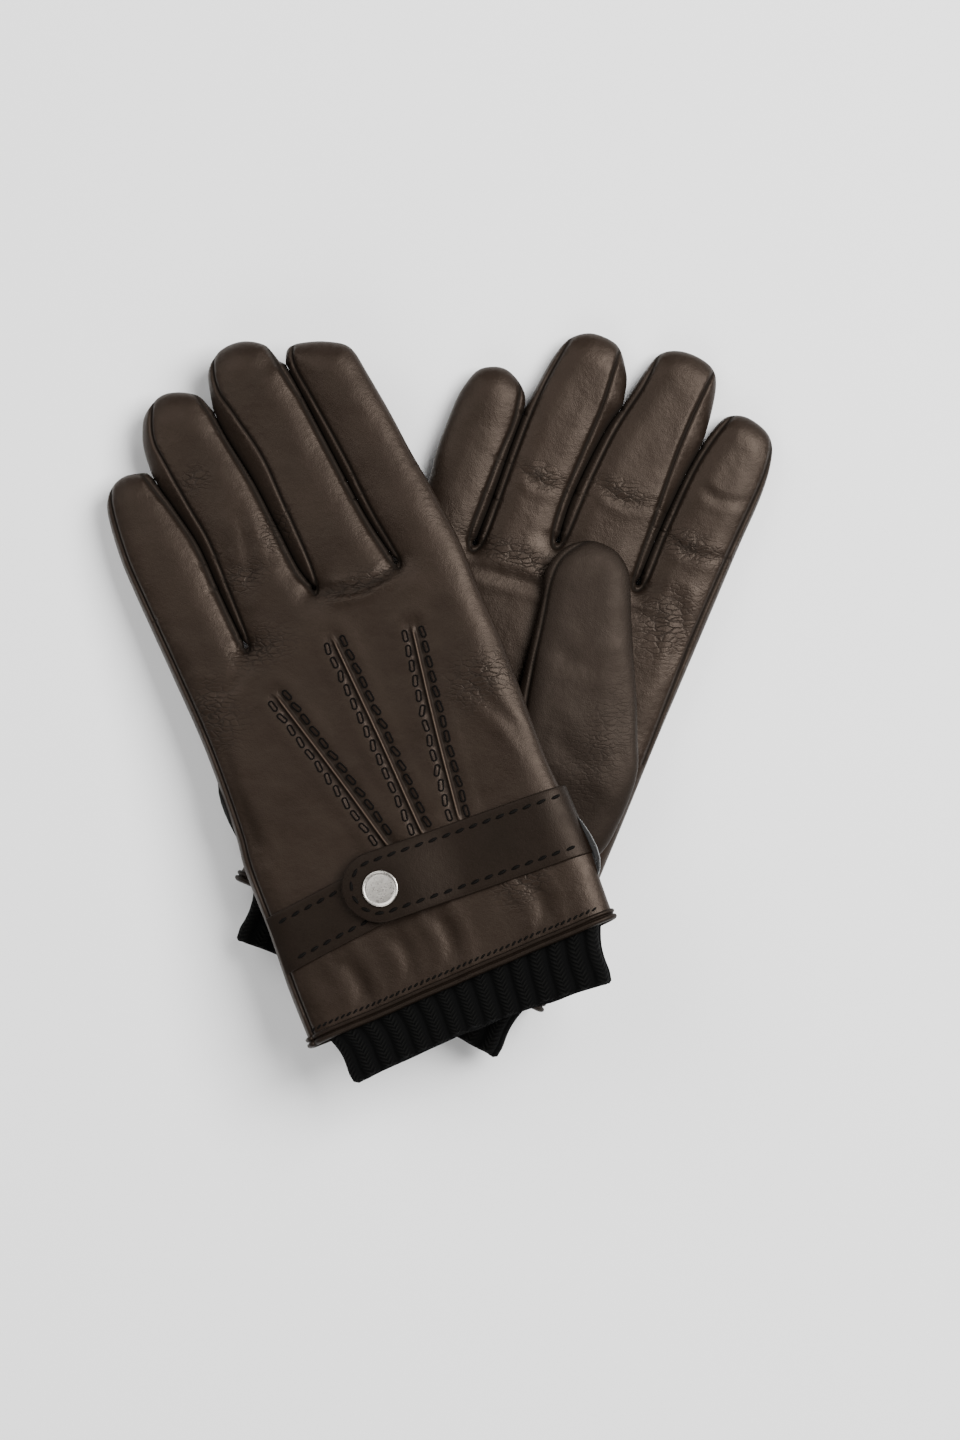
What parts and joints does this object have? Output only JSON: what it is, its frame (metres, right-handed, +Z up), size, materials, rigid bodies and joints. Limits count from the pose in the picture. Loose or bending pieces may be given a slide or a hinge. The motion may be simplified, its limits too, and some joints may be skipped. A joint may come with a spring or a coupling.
{
  "type": "leather gloves",
  "caption": "Pair of lined leather gloves with fourchettes, folded thumbs, knitted cuffs and a snap strap at each wrist, laid crossed.",
  "frame": {"origin": "centre of the pair's bounding box in X and Y, on the surface that the pair lies on", "axes": "+Z up out of the surface, +Y towards the fingertips, +X towards the right glove's fingertips"},
  "size_m": [0.2374, 0.2628, 0.0568],
  "materials": {
    "leather": "smooth dark brown nappa",
    "lining": "black brushed lining",
    "knit": "black ribbed knit",
    "nickel": "satin nickel"
  },
  "bodies": {
    "left_hand": {"left_back_panel": "leather", "left_palm_panel": "leather", "left_fork_middle_index": "leather", "left_fork_ring_middle": "leather", "left_fork_little_ring": "leather", "left_lining": "lining", "left_knit_cuff": "knit", "left_hem_binding": "leather", "left_under_strap": "leather", "left_snap_stud": "nickel", "left_snap_post": "nickel"},
    "left_thumb": {"left_thumb_front": "leather", "left_thumb_back": "leather"},
    "left_little": {"left_little_back": "leather", "left_little_palm": "leather", "left_little_fourchette_inner": "leather"},
    "left_ring": {"left_ring_back": "leather", "left_ring_palm": "leather", "left_ring_fourchette_inner": "leather", "left_ring_fourchette_outer": "leather"},
    "left_middle": {"left_middle_back": "leather", "left_middle_palm": "leather", "left_middle_fourchette_inner": "leather", "left_middle_fourchette_outer": "leather"},
    "left_index": {"left_index_back": "leather", "left_index_palm": "leather", "left_index_fourchette_outer": "leather"},
    "left_strap": {"left_strap": "leather", "left_snap_cap": "nickel", "left_snap_socket": "nickel"},
    "right_hand": {"right_back_panel": "leather", "right_palm_panel": "leather", "right_fork_middle_index": "leather", "right_fork_ring_middle": "leather", "right_fork_little_ring": "leather", "right_lining": "lining", "right_knit_cuff": "knit", "right_hem_binding": "leather", "right_under_strap": "leather", "right_snap_stud": "nickel", "right_snap_post": "nickel"},
    "right_thumb": {"right_thumb_front": "leather", "right_thumb_back": "leather"},
    "right_little": {"right_little_back": "leather", "right_little_palm": "leather", "right_little_fourchette_inner": "leather"},
    "right_ring": {"right_ring_back": "leather", "right_ring_palm": "leather", "right_ring_fourchette_inner": "leather", "right_ring_fourchette_outer": "leather"},
    "right_middle": {"right_middle_back": "leather", "right_middle_palm": "leather", "right_middle_fourchette_inner": "leather", "right_middle_fourchette_outer": "leather"},
    "right_index": {"right_index_back": "leather", "right_index_palm": "leather", "right_index_fourchette_outer": "leather"},
    "right_strap": {"right_strap": "leather", "right_snap_cap": "nickel", "right_snap_socket": "nickel"}
  },
  "joints": [
    {"name": "left_glove_lift", "type": "slide", "parent": "right_hand", "child": "left_hand", "axis": [0, 0, 1], "range_m": [0, 0.15]},
    {"name": "left_thumb_swing", "type": "hinge", "parent": "left_hand", "child": "left_thumb", "pos_m": [0.02705, -0.01757, 0.03131], "axis": [0.1761, -0.0614, -0.9825], "range_deg": [0, 45]},
    {"name": "left_little_finger_bend", "type": "hinge", "parent": "left_hand", "child": "left_little", "pos_m": [-0.09104, 0.0413, 0.01074], "axis": [-0.8676, -0.4811, -0.1254], "range_deg": [0, 75]},
    {"name": "left_ring_finger_bend", "type": "hinge", "parent": "left_hand", "child": "left_ring", "pos_m": [-0.07215, 0.06203, 0.01283], "axis": [-0.8676, -0.4811, -0.1254], "range_deg": [0, 75]},
    {"name": "left_middle_finger_bend", "type": "hinge", "parent": "left_hand", "child": "left_middle", "pos_m": [-0.04695, 0.07815, 0.01634], "axis": [-0.8676, -0.4811, -0.1254], "range_deg": [0, 75]},
    {"name": "left_index_finger_bend", "type": "hinge", "parent": "left_hand", "child": "left_index", "pos_m": [-0.01877, 0.0853, 0.02094], "axis": [-0.8676, -0.4811, -0.1254], "range_deg": [0, 75]},
    {"name": "left_strap_hinge", "type": "hinge", "parent": "left_hand", "child": "left_strap", "pos_m": [0.04824, -0.03859, 0.04639], "axis": [-0.3797, 0.9166, -0.1253], "range_deg": [0, 110]},
    {"name": "right_thumb_swing", "type": "hinge", "parent": "right_hand", "child": "right_thumb", "pos_m": [0.05167, -0.0412, 0.02073], "axis": [-0.0125, -0.0288, -0.9995], "range_deg": [0, 45]},
    {"name": "right_little_finger_bend", "type": "hinge", "parent": "right_hand", "child": "right_little", "pos_m": [0.01075, 0.08603, 0.01337], "axis": [0.9171, -0.3987, 0], "range_deg": [0, 75]},
    {"name": "right_ring_finger_bend", "type": "hinge", "parent": "right_hand", "child": "right_ring", "pos_m": [0.0406, 0.0876, 0.01295], "axis": [0.9171, -0.3987, 0], "range_deg": [0, 75]},
    {"name": "right_middle_finger_bend", "type": "hinge", "parent": "right_hand", "child": "right_middle", "pos_m": [0.07054, 0.08071, 0.01277], "axis": [0.9171, -0.3987, 0], "range_deg": [0, 75]},
    {"name": "right_index_finger_bend", "type": "hinge", "parent": "right_hand", "child": "right_index", "pos_m": [0.09445, 0.06397, 0.01296], "axis": [0.9171, -0.3987, 0], "range_deg": [0, 75]},
    {"name": "right_strap_hinge", "type": "hinge", "parent": "right_hand", "child": "right_strap", "pos_m": [0.05185, -0.07344, 0.01185], "axis": [-0.3986, -0.9166, 0.0314], "range_deg": [0, 110]}
  ]
}
